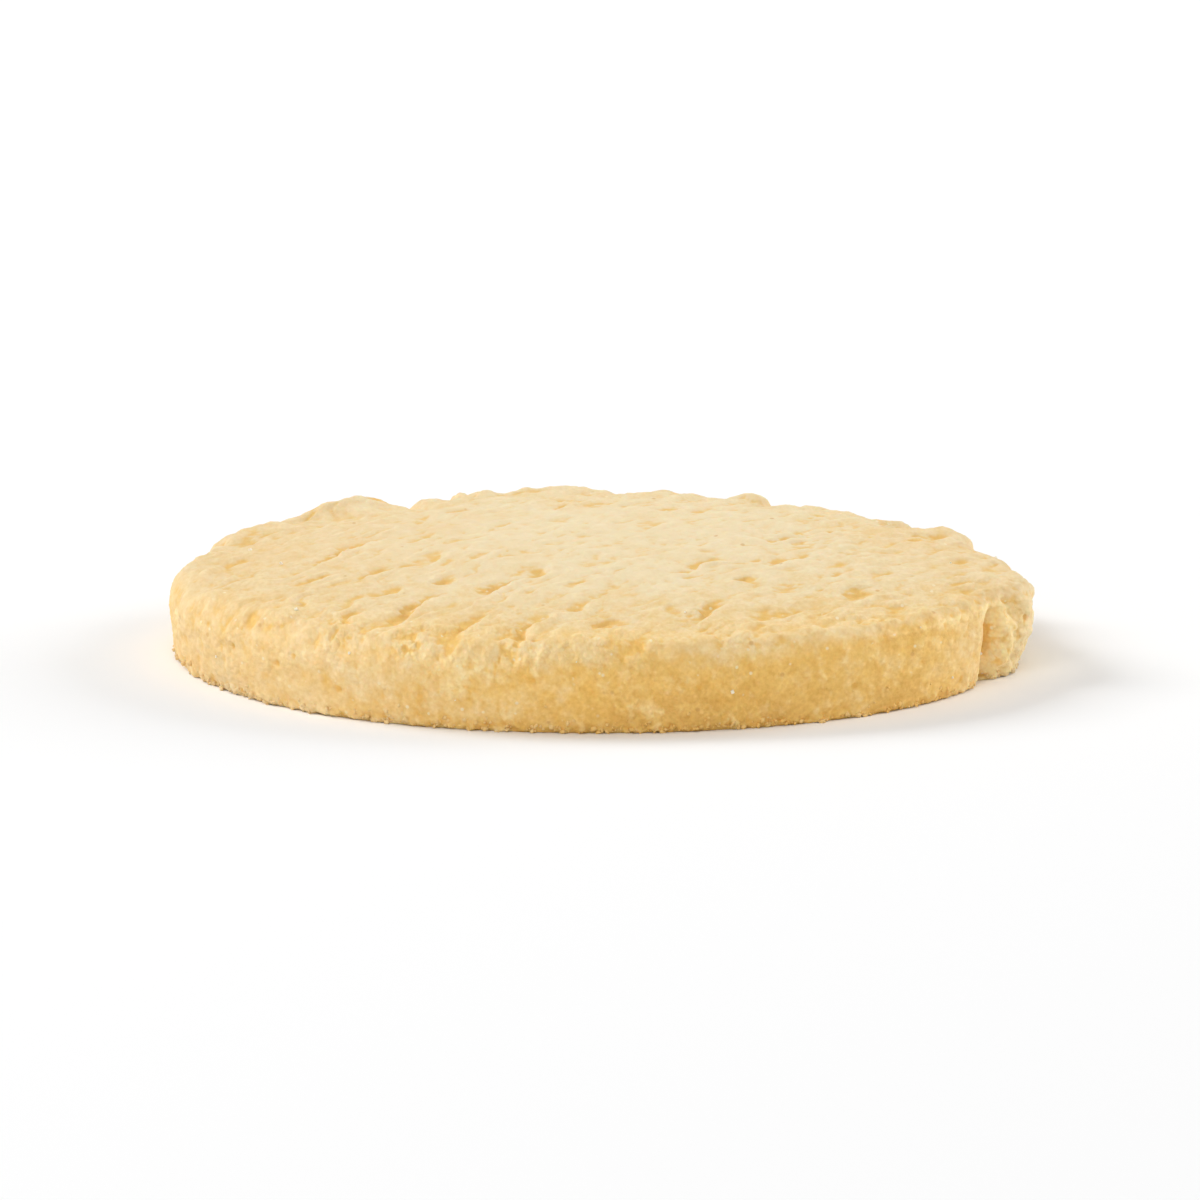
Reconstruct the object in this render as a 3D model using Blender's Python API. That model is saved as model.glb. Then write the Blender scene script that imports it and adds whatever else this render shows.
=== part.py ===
"""A round shortbread biscuit: one baked piece, lying on its flat underside.

The whole biscuit is one closed surface. A square grid is bent into a disc and
raised into the crowned, wire-marked top. The rim of that disc is then drawn
down in rings, over the soft shoulder, along the wall and round its foot, and
the last ring is closed with a flat underside.

Units are metres and +Z is up. The origin is the middle of the underside, +X is
to the right and +Y to the back.
"""

import math
from dataclasses import dataclass

import bmesh
import bpy

MM = 0.001

# Driving dimensions
DIAMETER = 62.0 * MM
CROWN_HEIGHT = 7.9 * MM  # at the middle of the top
RIM_HEIGHT = 6.8 * MM  # where the top turns into the shoulder
SHOULDER_RUN = 2.9 * MM  # how far the shoulder reaches in from the wall
SHOULDER_DROP = 2.6 * MM  # how far it falls before the wall is upright
BASE_TUCK = 0.40 * MM  # how far the wall draws in towards its foot
FOOT_BEVEL = 0.50 * MM  # bevel of the lower edge
LEFT_LEAN = 0.30 * MM  # the shoulder sits this much lower on the left side
BREAK_START = 0.4 * MM  # depths below the top's edge between which a break
BREAK_FULL = 2.9 * MM  # that spares the edge grows to its whole reach
RIM_FADE = 4  # power of the radius with which the rim's unevenness fades inwards
LUMP_FADE = 14  # the same for the lumps on the rim

# Marks that the cutting wire drags across the soft dough
MARK_SPACING = 4.7 * MM
MARK_DEPTH = 0.45 * MM  # at the deepest
MARK_LENGTH = 11.0 * MM  # a furrow fades and starts again this often
MARK_EVENNESS = 0.55  # share of the depth that doesn't fade
MARK_SWAY = 0.8 * MM  # how far a furrow wanders sideways
MARK_SWAY_LENGTH = 25.3 * MM  # from one sway to the next
MARK_STAGGER = 0.37  # share of a length by which the next row is shifted
MARK_BEARING = math.radians(64.0)  # direction of the furrows, from +X

# Mesh density
TOP_CELLS = 48  # cells along each side of the square behind the disc
SHOULDER_RINGS = 4
WALL_RINGS = 3

SHARP_ANGLE = math.radians(40.0)  # edges that turn by more are shaded sharp

DOUGH_COLOUR = (0.81, 0.66, 0.41, 1.0)
DOUGH_ROUGHNESS = 0.85


@dataclass(frozen=True)
class RimFeature:
    """A place where the rim of the biscuit bulges out, dips or is broken away."""

    bearing: float  # degrees from +X towards +Y
    before: float  # degrees on the side of smaller bearings where it has faded out
    after: float  # the same on the side of larger bearings
    reach: float = 0.0  # how far it stands out, negative where it is broken away
    lift: float = 0.0  # how far it raises the shoulder
    tuck: float = 0.0  # how much further its foot draws in
    spares_edge: bool = False  # the top's edge runs on over it


RIM_FEATURES = (
    RimFeature(-12.5, 8.5, 16.0, reach=1.5 * MM, tuck=0.55 * MM),  # broken block
    RimFeature(-18.0, 3.5, 6.0, reach=0.75 * MM, tuck=0.60 * MM),  # its front face
    RimFeature(-22.0, 4.0, 3.5, reach=-0.90 * MM, spares_edge=True),  # notch before it
    RimFeature(16.5, 13.0, 12.0, reach=-1.05 * MM),  # flat behind it
    RimFeature(25.5, 7.0, 5.0, reach=0.30 * MM, lift=0.25 * MM),
    RimFeature(34.0, 5.5, 4.5, reach=-0.80 * MM, lift=-0.75 * MM),
    RimFeature(46.0, 14.0, 14.0, lift=-0.35 * MM),
    RimFeature(62.0, 7.0, 3.0, lift=-0.55 * MM),
    RimFeature(97.0, 14.0, 16.0, lift=0.42 * MM),
    RimFeature(120.5, 4.5, 3.5, reach=-0.35 * MM, lift=-1.00 * MM),
    RimFeature(131.0, 8.0, 11.0, reach=0.15 * MM, lift=1.10 * MM),
    RimFeature(152.0, 13.0, 14.0, lift=0.40 * MM),
    RimFeature(165.0, 14.0, 14.0, reach=-0.40 * MM),
    RimFeature(180.0, 50.0, 50.0, reach=-0.30 * MM),
)

# The shoulder is smaller here, by the given share of its size
TIGHT_SHOULDER = RimFeature(-34.0, 46.0, 70.0)
TIGHT_SHARE = 0.6

# The slow unevenness of a hand-pressed round: waves round the rim, size, phase
RIM_WAVES = ((2, 0.25 * MM, 0.6), (3, 0.15 * MM, 2.1), (5, 0.12 * MM, 4.0))


def clear_scene():
    """Remove every object, so that only the biscuit is in the file."""
    for item in list(bpy.data.objects):
        bpy.data.objects.remove(item, do_unlink=True)


def share_at(feature, angle):
    """How strongly a feature acts at this angle, from 0 to 1.

    It rises and falls as the square of a cosine, with its own spread to each
    side.
    """
    offset = (math.degrees(angle) - feature.bearing + 180.0) % 360.0 - 180.0
    spread = feature.before if offset < 0.0 else feature.after
    return math.cos(0.5 * math.pi * min(abs(offset) / spread, 1.0)) ** 2


def smooth_step(value, low, high):
    """Rise from 0 at low to 1 at high along the curve 3t^2 - 2t^3."""
    share = min(max((value - low) / (high - low), 0.0), 1.0)
    return share * share * (3.0 - 2.0 * share)


def wall_radius(angle, below):
    """The radius of the wall, at this angle and this far below the top's edge."""
    waves = sum(size * math.cos(count * angle + phase) for count, size, phase in RIM_WAVES)
    grown = smooth_step(below, BREAK_START, BREAK_FULL)
    reach = sum(
        share_at(feature, angle) * feature.reach * (grown if feature.spares_edge else 1.0)
        for feature in RIM_FEATURES
    )
    return 0.5 * DIAMETER + waves + reach


def rim_height(angle, near=1.0):
    """The height of the top's edge: lower on the left, raised by the lumps.

    Near says how much of the lumps counts, from 0 to 1.
    """
    lean = LEFT_LEAN * 0.5 * (1.0 - math.cos(angle))
    lift = sum(share_at(feature, angle) * feature.lift for feature in RIM_FEATURES)
    return RIM_HEIGHT - lean + near * lift


def foot_tuck(angle):
    """How far the wall has drawn in where it meets its foot."""
    return BASE_TUCK + sum(share_at(feature, angle) * feature.tuck for feature in RIM_FEATURES)


def shoulder_size(angle):
    """The run and the drop of the shoulder at this angle."""
    scale = 1.0 - TIGHT_SHARE * share_at(TIGHT_SHOULDER, angle)
    return SHOULDER_RUN * scale, SHOULDER_DROP * scale


def wire_marks(x, y):
    """The height, zero or less, that the dragged furrows take off at (x, y).

    Each furrow is a row of its own: it is deepest in the middle of the row and
    rises to nothing halfway to the next, and it fades along its length out of
    step with its neighbours.
    """
    along = x * math.cos(MARK_BEARING) + y * math.sin(MARK_BEARING)
    across = x * math.sin(MARK_BEARING) - y * math.cos(MARK_BEARING)
    across += MARK_SWAY * math.sin(2.0 * math.pi * along / MARK_SWAY_LENGTH)
    row = across / MARK_SPACING
    step = MARK_STAGGER * round(row)
    beat = math.cos(2.0 * math.pi * (along / MARK_LENGTH + step))
    fade = MARK_EVENNESS + (1.0 - MARK_EVENNESS) * beat
    return -MARK_DEPTH * fade * (0.5 + 0.5 * math.cos(2.0 * math.pi * row))


def top_point(u, v):
    """The point of the top for a point of the square, u and v from -1 to 1.

    The square is bent into a disc by shortening each side as the other grows.
    The unevenness and the lumps of the rim fade out inwards with a power of
    the radius, and the height falls from the crown to the rim with its square.
    """
    disc_x = u * math.sqrt(1.0 - 0.5 * v * v)
    disc_y = v * math.sqrt(1.0 - 0.5 * u * u)
    share = math.hypot(disc_x, disc_y)
    angle = math.atan2(disc_y, disc_x)
    plain = 0.5 * DIAMETER - SHOULDER_RUN
    edge = wall_radius(angle, 0.0) - shoulder_size(angle)[0]
    stretch = plain + (edge - plain) * share**RIM_FADE
    x, y = disc_x * stretch, disc_y * stretch
    fall = share * share
    height = CROWN_HEIGHT * (1.0 - fall) + rim_height(angle, share ** (LUMP_FADE - 2)) * fall
    return x, y, height + wire_marks(x, y)


def shoulder_point(angle, edge_height, turn):
    """A point of the shoulder, a quarter of an ellipse, turn from 0 to 1."""
    run, drop = shoulder_size(angle)
    swing = 0.5 * math.pi * turn
    below = drop * (1.0 - math.cos(swing))
    radius = wall_radius(angle, below) - run * (1.0 - math.sin(swing))
    return radius * math.cos(angle), radius * math.sin(angle), edge_height - below


def wall_point(angle, edge_height, down):
    """A point of the wall, down from 0 below the shoulder to 1 at its foot."""
    upright = edge_height - shoulder_size(angle)[1]
    height = upright + (FOOT_BEVEL - upright) * down
    radius = wall_radius(angle, edge_height - height) - foot_tuck(angle) * down * down
    return radius * math.cos(angle), radius * math.sin(angle), height


def foot_point(angle, edge_height):
    """A point of the lower edge, where the bevelled foot meets the underside."""
    radius = wall_radius(angle, edge_height) - foot_tuck(angle) - FOOT_BEVEL
    return radius * math.cos(angle), radius * math.sin(angle), 0.0


def draw_down(mesh, ring, place):
    """Extrude a ring of edges and put each new vertex where place says.

    Returns the new ring's edges. The vertices keep their angle from ring to
    ring, because each is moved within its own upright plane.
    """
    grown = bmesh.ops.extrude_edge_only(mesh, edges=ring)["geom"]
    for vertex in (item for item in grown if isinstance(item, bmesh.types.BMVert)):
        vertex.co = place(math.atan2(vertex.co.y, vertex.co.x))
    return [item for item in grown if isinstance(item, bmesh.types.BMEdge) and item.is_boundary]


def biscuit_mesh():
    """Build the closed surface of the biscuit and return it as mesh data."""
    mesh = bmesh.new()
    bmesh.ops.create_grid(mesh, x_segments=TOP_CELLS, y_segments=TOP_CELLS, size=1.0)
    for vertex in mesh.verts:
        vertex.co = top_point(vertex.co.x, vertex.co.y)

    def edge_height(angle):
        edge = wall_radius(angle, 0.0) - shoulder_size(angle)[0]
        return rim_height(angle) + wire_marks(edge * math.cos(angle), edge * math.sin(angle))

    ring = [edge for edge in mesh.edges if edge.is_boundary]
    for step in range(1, SHOULDER_RINGS + 1):
        turn = step / SHOULDER_RINGS
        ring = draw_down(mesh, ring, lambda a: shoulder_point(a, edge_height(a), turn))
    for step in range(1, WALL_RINGS + 1):
        down = step / WALL_RINGS
        ring = draw_down(mesh, ring, lambda a: wall_point(a, edge_height(a), down))
    ring = draw_down(mesh, ring, lambda a: foot_point(a, edge_height(a)))

    underside = bmesh.ops.contextual_create(mesh, geom=ring)["faces"]
    middle = bmesh.ops.poke(mesh, faces=underside)["verts"][0]
    middle.co = (0.0, 0.0, 0.0)
    bmesh.ops.recalc_face_normals(mesh, faces=mesh.faces)

    data = bpy.data.meshes.new("biscuit")
    mesh.to_mesh(data)
    mesh.free()
    return data


def baked_dough():
    """A pale, matt, buttery crust."""
    material = bpy.data.materials.new("baked_dough")
    material.use_nodes = True
    shader = material.node_tree.nodes["Principled BSDF"]
    shader.inputs["Base Color"].default_value = DOUGH_COLOUR
    shader.inputs["Roughness"].default_value = DOUGH_ROUGHNESS
    shader.inputs["Metallic"].default_value = 0.0
    return material


def main():
    """Clear the scene and model the biscuit."""
    clear_scene()
    data = biscuit_mesh()
    data.materials.append(baked_dough())
    biscuit = bpy.data.objects.new("biscuit", data)
    bpy.context.scene.collection.objects.link(biscuit)
    data.shade_smooth()
    data.set_sharp_from_angle(angle=SHARP_ANGLE)


main()
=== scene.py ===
"""The looks of a round shortbread biscuit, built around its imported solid.

The biscuit is one closed surface with a crowned, wire-marked top, a crumbly
shoulder, a smoother wall and a ragged foot. Loose crumbs cling to it and sugar
grains sit in its crust. It lies on a plain white floor under soft studio light.

Everything is in metres, +Z up, with the origin in the middle of the underside.
Bearings are degrees from +X towards +Y, so -90 faces the camera.
"""

from __future__ import annotations

import itertools
import logging
import math
from collections.abc import Iterator
from dataclasses import dataclass, field, fields
from enum import Enum
from functools import cached_property
from typing import Any

import bpy
import numpy as np
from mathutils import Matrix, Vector


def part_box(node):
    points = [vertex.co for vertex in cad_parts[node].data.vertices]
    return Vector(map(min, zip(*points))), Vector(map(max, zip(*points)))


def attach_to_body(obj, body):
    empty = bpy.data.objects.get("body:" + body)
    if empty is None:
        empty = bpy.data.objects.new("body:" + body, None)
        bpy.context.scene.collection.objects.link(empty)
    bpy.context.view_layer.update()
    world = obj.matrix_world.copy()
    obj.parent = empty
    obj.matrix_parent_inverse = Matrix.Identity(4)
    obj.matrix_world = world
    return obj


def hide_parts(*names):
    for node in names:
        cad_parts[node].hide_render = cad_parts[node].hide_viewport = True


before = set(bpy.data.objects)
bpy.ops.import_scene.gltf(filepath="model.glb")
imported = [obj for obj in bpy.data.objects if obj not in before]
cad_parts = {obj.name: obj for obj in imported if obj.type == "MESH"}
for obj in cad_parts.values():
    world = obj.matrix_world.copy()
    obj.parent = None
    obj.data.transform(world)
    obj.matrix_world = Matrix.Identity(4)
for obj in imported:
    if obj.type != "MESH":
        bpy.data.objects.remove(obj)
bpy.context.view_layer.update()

LOG = logging.getLogger("biscuit")
NODE = "biscuit"
BODY = "root"
MM = 0.001
TURN = 2.0 * math.pi
KEYS = 256  # cells of noise are told apart by this many keys, a power of two

Array = np.ndarray
Colour = tuple[float, float, float]
Band = tuple[float, float]  # a low and a high value


class Draw(Enum):
    """The seed of each separate stream of random numbers."""

    SWELL = 3
    GRAIN = 7
    CRUMBLE = 11
    COMB = 13
    KNOBS = 17
    PITS = 19
    FOOT = 23
    FURROWS = 31
    DIMPLES = 37
    CRUMBS = 41
    SUGAR = 53


def smooth(values: Array | float, low: float, high: float) -> Array:
    """Rise from 0 at low to 1 at high along the curve 3t^2 - 2t^3."""
    share = np.clip((np.asarray(values) - low) / (high - low), 0.0, 1.0)
    return share * share * (3.0 - 2.0 * share)


def degrees_from(angle: Array, bearing: float) -> Array:
    """The signed degrees from bearing to each angle, from -180 to 180."""
    return (np.degrees(angle) - bearing + 180.0) % 360.0 - 180.0


def turned(x: Array, y: Array, bearing: float) -> tuple[Array, Array]:
    """How far points lie along a bearing, and how far across it to its right.

    Turning the result with the same bearing gives the points back.

    Args:
        x: How far each point lies along +X.
        y: How far each point lies along +Y.
        bearing: The bearing, in degrees.

    Returns:
        The distance along and the distance across of each point.
    """
    turn = math.radians(bearing)
    return x * math.cos(turn) + y * math.sin(turn), x * math.sin(turn) - y * math.cos(turn)


def steps(count: int) -> Array:
    """Even steps up to 1, without 0."""
    return np.arange(1, count + 1) / count


def averaged(values: Array, edges: Array, rounds: int) -> Array:
    """Even out numbers over a mesh: each round mixes a vertex with its neighbours.

    Args:
        values: One number for each vertex.
        edges: The two vertex numbers of each edge, one row for each.
        rounds: How often a vertex takes a fifth of itself and four fifths of
            the mean of its neighbours.

    Returns:
        One number for each vertex.
    """
    one, other = edges.T
    size = len(values)
    degree = np.bincount(one, minlength=size) + np.bincount(other, minlength=size)
    for _ in range(rounds):
        total = np.bincount(one, values[other], size) + np.bincount(other, values[one], size)
        values = 0.2 * values + 0.8 * total / degree
    return values


# ---------------------------------------------------------------- fields


@dataclass(frozen=True)
class Lattice:
    """Random numbers tied to the whole-number cells of space."""

    seed: Draw

    def stream(self, number: int) -> np.random.Generator:
        """One of the lattice's own streams of random numbers."""
        return np.random.default_rng(self.seed.value + 1000 * number)

    @cached_property
    def order(self) -> Array:
        """The keys, shuffled, which turns a cell into a key."""
        return self.stream(0).permutation(KEYS)

    @cached_property
    def spots(self) -> Array:
        """For each key, a place inside its cell, each part from 0 to 1."""
        return self.stream(1).random((KEYS, 3))

    @cached_property
    def directions(self) -> Array:
        """For each key, a unit vector."""
        drawn = self.stream(2).normal(size=(KEYS, 3))
        return drawn / np.linalg.norm(drawn, axis=1, keepdims=True)

    def key(self, cell: Array) -> Array:
        """The key of each cell, a row of three: each part shuffles the last result."""
        key = 0
        for part in cell.T:
            key = self.order[(key + part) % KEYS]
        return key


@dataclass(frozen=True)
class Swell(Lattice):
    """Smooth random rises and falls in space, in layers of Perlin's gradient noise."""

    size: float  # from one rise to the next in the coarsest layer
    layers: int = 1  # each half the size of the last
    fade: float = 0.5  # the strength of each layer against the last
    shift: float = 7.31  # how many sizes each layer lies off the last
    gain: float = 1.7  # brings a layer's values to about -1 to 1

    def layer(self, points: Array, size: float) -> Array:
        """Noise of one size.

        Each corner of a point's cell has a fixed random direction. The value is
        the offset from each corner times that direction, blended across the
        cell with the curve 6t^5 - 15t^4 + 10t^3.

        Args:
            points: One row of three for each point, in metres.
            size: The side of a cell, in metres.

        Returns:
            One value for each point.
        """
        scaled = points / size
        cell = np.floor(scaled).astype(np.int64)
        inside = scaled - cell
        blend = inside**3 * (inside * (inside * 6.0 - 15.0) + 10.0)
        total = np.zeros(len(points))
        for corner in itertools.product((0, 1), repeat=3):
            offset = inside - corner
            slope = self.directions[self.key(cell + corner)]
            weight = np.where(corner, blend, 1.0 - blend).prod(axis=1)
            total += weight * (offset * slope).sum(axis=1)
        return self.gain * total

    def at(self, points: Array) -> Array:
        """All layers added up, about -1 to 1 at each point."""
        strengths = [self.fade**layer for layer in range(self.layers)]
        total = sum(
            strength * self.layer(points + layer * self.shift * self.size, self.size / 2**layer)
            for layer, strength in enumerate(strengths)
        )
        return total / math.sqrt(sum(strength**2 for strength in strengths))


@dataclass(frozen=True)
class Scatter(Lattice):
    """Points scattered through space, one in each cell of a lattice."""

    size: float  # the side of a cell

    def nearest(self, points: Array) -> tuple[Array, Array, Array]:
        """The nearest and the second nearest scattered point, by Worley's rule.

        Args:
            points: One row of three for each point, in metres.

        Returns:
            The distance to the nearest, the distance to the second, both in
            cells, and a random number from 0 to 1 that goes with the nearest.
        """
        scaled = points / self.size
        cell = np.floor(scaled).astype(np.int64)
        inside = scaled - cell
        first = np.full(len(points), 9.0)
        second = first.copy()
        chance = np.zeros(len(points))
        for corner in itertools.product((-1, 0, 1), repeat=3):
            key = self.key(cell + corner)
            reach = np.linalg.norm(inside - corner - self.spots[key], axis=1)
            closer = reach < first
            second = np.where(closer, first, np.minimum(second, reach))
            first = np.where(closer, reach, first)
            chance = np.where(closer, self.order[key] / (KEYS - 1), chance)
        return first, second, chance


# ---------------------------------------------------------------- marks


@dataclass(frozen=True)
class RimFeature:
    """A place where the rim stands out or is broken away.

    It rises and falls as the square of a cosine, with its own spread to each
    side, so that one side can be steep and the other slow. It can also say how
    much of something else there is round the rim, and that is its reach then.
    """

    bearing: float
    before: float  # spread on the side of smaller bearings, in degrees
    after: float  # spread on the side of larger bearings, in degrees
    reach: float
    lift: float = 0.0  # how much higher it makes the top's edge
    tuck: float = 0.0  # how much further its foot draws in
    top: float = 1.0  # share of its reach at the top's edge

    def share(self, angle: Array) -> Array:
        """How strongly the feature acts at each angle, from 0 to 1."""
        offset = degrees_from(angle, self.bearing)
        spread = np.where(offset < 0.0, self.before, self.after)
        return np.cos(0.5 * math.pi * np.clip(np.abs(offset) / spread, 0.0, 1.0)) ** 2

    def amount(self, angle: Array) -> Array:
        """Its reach times its share, at each angle."""
        return self.reach * self.share(angle)


@dataclass(frozen=True)
class Hollow:
    """A rough dent where a flake of dough was dragged off the top."""

    x: float
    y: float
    length: float
    width: float
    depth: float
    bearing: float

    def depth_at(self, x: Array, y: Array) -> Array:
        """How deep the dent is: a bell that is longer along its bearing."""
        along, across = turned(x - self.x, y - self.y, self.bearing)
        far = (2.0 * along / self.length) ** 2 + (2.0 * across / self.width) ** 2
        return self.depth * np.exp(-far * far)


@dataclass(frozen=True)
class Furrow:
    """A short furrow that the cutting wire dragged into the soft top.

    From the left the dough slopes down over gentle, and on the right it climbs
    back up within steep, both as a bell, to a torn lip that stands up a little.
    Along it everything fades to nothing at either end.
    """

    x: float
    y: float
    length: float
    depth: float
    bearing: float
    gentle: float = 1.25 * MM
    steep: float = 0.26 * MM
    lip: float = 0.45  # height of the lip, as a share of the depth
    lip_place: float = 2.4  # how far the lip lies from the middle, in steeps

    def parts_at(self, x: Array, y: Array) -> tuple[Array, Array]:
        """How deep the furrow is, and how high its lip stands, at each point."""
        along, across = turned(x - self.x, y - self.y, self.bearing)
        fade = self.depth * np.clip(1.0 - (2.0 * along / self.length) ** 2, 0.0, 1.0)
        width = np.where(across < 0.0, self.gentle, self.steep)
        lip = self.lip * np.exp(-((across / self.steep - self.lip_place) ** 2) / 2.0)
        return fade * np.exp(-((across / width) ** 2)), fade * lip


@dataclass(frozen=True)
class Crack:
    """A rough seam that runs down the wall where the dough was pressed together."""

    bearing: float
    width: float
    depth: float
    low: float = 0.0  # heights between which it runs
    high: float = 7.0 * MM
    sway: float = 1.8  # degrees that it wanders to either side

    def depth_at(self, angle: Array, height: Array, wander: Array, radius: float) -> Array:
        """How deep the crack is: a bell across it, fading out at its ends.

        Args:
            angle: Each point's angle round the biscuit.
            height: Each point's height.
            wander: Smooth noise from -1 to 1, which bends the crack.
            radius: The radius that turns degrees into a distance.

        Returns:
            One depth for each point.
        """
        away = np.radians(degrees_from(angle, self.bearing) + self.sway * wander) * radius
        ends = smooth(height, self.low - 0.4 * MM, self.low + 0.4 * MM)
        ends = ends * smooth(height, self.high + 0.4 * MM, self.high - 0.4 * MM)
        return self.depth * ends * np.exp(-((away / self.width) ** 2))


def marked(
    *rows: tuple[float, float, float, float, float], strength: float = 1.4
) -> tuple[Furrow, ...]:
    """Furrows from rows of x, y, length and depth in millimetres, and bearing.

    Args:
        *rows: One row for each furrow.
        strength: A factor that makes them all deeper.

    Returns:
        The furrows, in the same order.
    """
    return tuple(
        Furrow(x * MM, y * MM, length * MM, strength * depth * MM, bearing)
        for x, y, length, depth, bearing in rows
    )


@dataclass(frozen=True)
class WireMarks:
    """All the furrows of the top: the main ones, and faint staggered rows."""

    reach: float  # faint furrows start within this radius
    bearing: float = 64.0
    right_bearing: float = 42.0  # they lean over towards the right side
    row_step: float = 4.6 * MM
    length_step: float = 8.5 * MM
    stray: float = 2.2 * MM
    shortest: float = 2.5 * MM
    longest: float = 8.5 * MM
    sway: float = 16.0  # degrees that a faint furrow may turn to either side
    shallow: float = 0.03 * MM
    deep: float = 0.34 * MM
    main: tuple[Furrow, ...] = marked(
        (-18.0, 1.5, 12.0, 0.34, 64),
        (-16.0, -7.5, 5.0, 0.26, 57),
        (-20.5, -8.5, 4.5, 0.22, 57),
        (-15.0, -13.5, 4.5, 0.20, 62),
        (-12.8, -18.8, 9.5, 0.34, 64),
        (-17.5, -20.5, 4.5, 0.26, 63),
        (-7.0, -13.2, 6.0, 0.36, 62),
        (-9.5, -25.0, 8.0, 0.38, 68),
        (-4.8, -26.0, 10.0, 0.40, 69),
        (-1.0, -19.5, 4.5, 0.18, 66),
        (-6.4, -4.0, 3.5, 0.15, 50),
        (8.5, -5.2, 4.5, 0.24, 57),
        (8.0, -21.5, 6.5, 0.26, 65),
        (13.8, -21.0, 6.0, 0.32, 44),
        (14.0, 5.0, 4.5, 0.32, 34),
        (17.5, 8.5, 4.5, 0.32, 28),
        (13.8, -4.0, 5.5, 0.22, 66),
        (3.6, -28.5, 5.0, 0.20, 70),
        (20.8, -22.0, 4.0, 0.28, 45),
    )

    def furrows(self) -> list[Furrow]:
        """The main furrows, and faint ones that stray from a staggered lattice."""
        draw = np.random.default_rng(Draw.FURROWS.value)
        rows = math.ceil(self.reach / self.row_step)
        steps = math.ceil(self.reach / self.length_step)
        found = list(self.main)
        for row, step in itertools.product(range(-rows, rows + 1), range(-steps, steps + 1)):
            along = (step + 0.5 * (row % 2)) * self.length_step + draw.normal() * self.stray
            across = row * self.row_step + 0.6 * draw.normal() * self.stray
            x, y = turned(along, across, self.bearing)
            lean = float(smooth(x, 4.0 * MM, 22.0 * MM))
            bearing = self.bearing + (self.right_bearing - self.bearing) * lean
            length, sway, chance = draw.uniform(
                (self.shortest / MM, -self.sway, 0.0), (self.longest / MM, self.sway, 1.0)
            )
            place = 0.50 + 0.50 * float(smooth(-0.6 * x - 0.8 * y, -6.0 * MM, 14.0 * MM))
            depth = self.shallow + (self.deep - self.shallow) * chance**2 * place
            if math.hypot(x, y) < self.reach:
                found.append(Furrow(x, y, length * MM, depth, bearing + sway))
        return found

    def depth_at(self, x: Array, y: Array) -> Array:
        """How deep the deepest furrow is at each point, less the highest lip."""
        depth, lip = np.zeros(len(x)), np.zeros(len(x))
        for furrow in self.furrows():
            deeper, higher = furrow.parts_at(x, y)
            depth, lip = np.maximum(depth, deeper), np.maximum(lip, higher)
        return depth - lip


# ---------------------------------------------------------------- shader graph


class Socket:
    """A shader socket that takes part in Python expressions."""

    def __init__(self, graph: Graph, link: bpy.types.NodeSocket) -> None:
        """Hold the graph that the socket belongs to, and the socket."""
        self.graph = graph
        self.link = link

    def _math(self, operation: str, first: Value, second: Value) -> Socket:
        """Add a Math node for one operation on two values."""
        return self.graph.add("ShaderNodeMath", {"operation": operation}, {0: first, 1: second})

    def __add__(self, other: Value) -> Socket:
        """Add a value."""
        return self._math("ADD", self, other)

    __radd__ = __add__

    def __mul__(self, other: Value) -> Socket:
        """Multiply by a value."""
        return self._math("MULTIPLY", self, other)

    __rmul__ = __mul__

    def __sub__(self, other: Value) -> Socket:
        """Take a value away."""
        return self._math("SUBTRACT", self, other)

    def __rsub__(self, other: Value) -> Socket:
        """Take this away from a value."""
        return self._math("SUBTRACT", other, self)

    def above(self, low: float, high: float) -> Socket:
        """Rise smoothly from 0 where this is low to 1 where it is high."""
        settings = {"interpolation_type": "SMOOTHSTEP", "clamp": True}
        inputs = {"Value": self, "From Min": low, "From Max": high}
        return self.graph.add("ShaderNodeMapRange", settings, inputs)

    def below(self, low: float, high: float) -> Socket:
        """Fall smoothly from 1 where this is low to 0 where it is high."""
        return 1.0 - self.above(low, high)


Value = Socket | float | tuple[float, ...]


class Blend(Enum):
    """How a Mix node puts one colour on another."""

    OVER = "MIX"
    TINT = "MULTIPLY"


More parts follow.
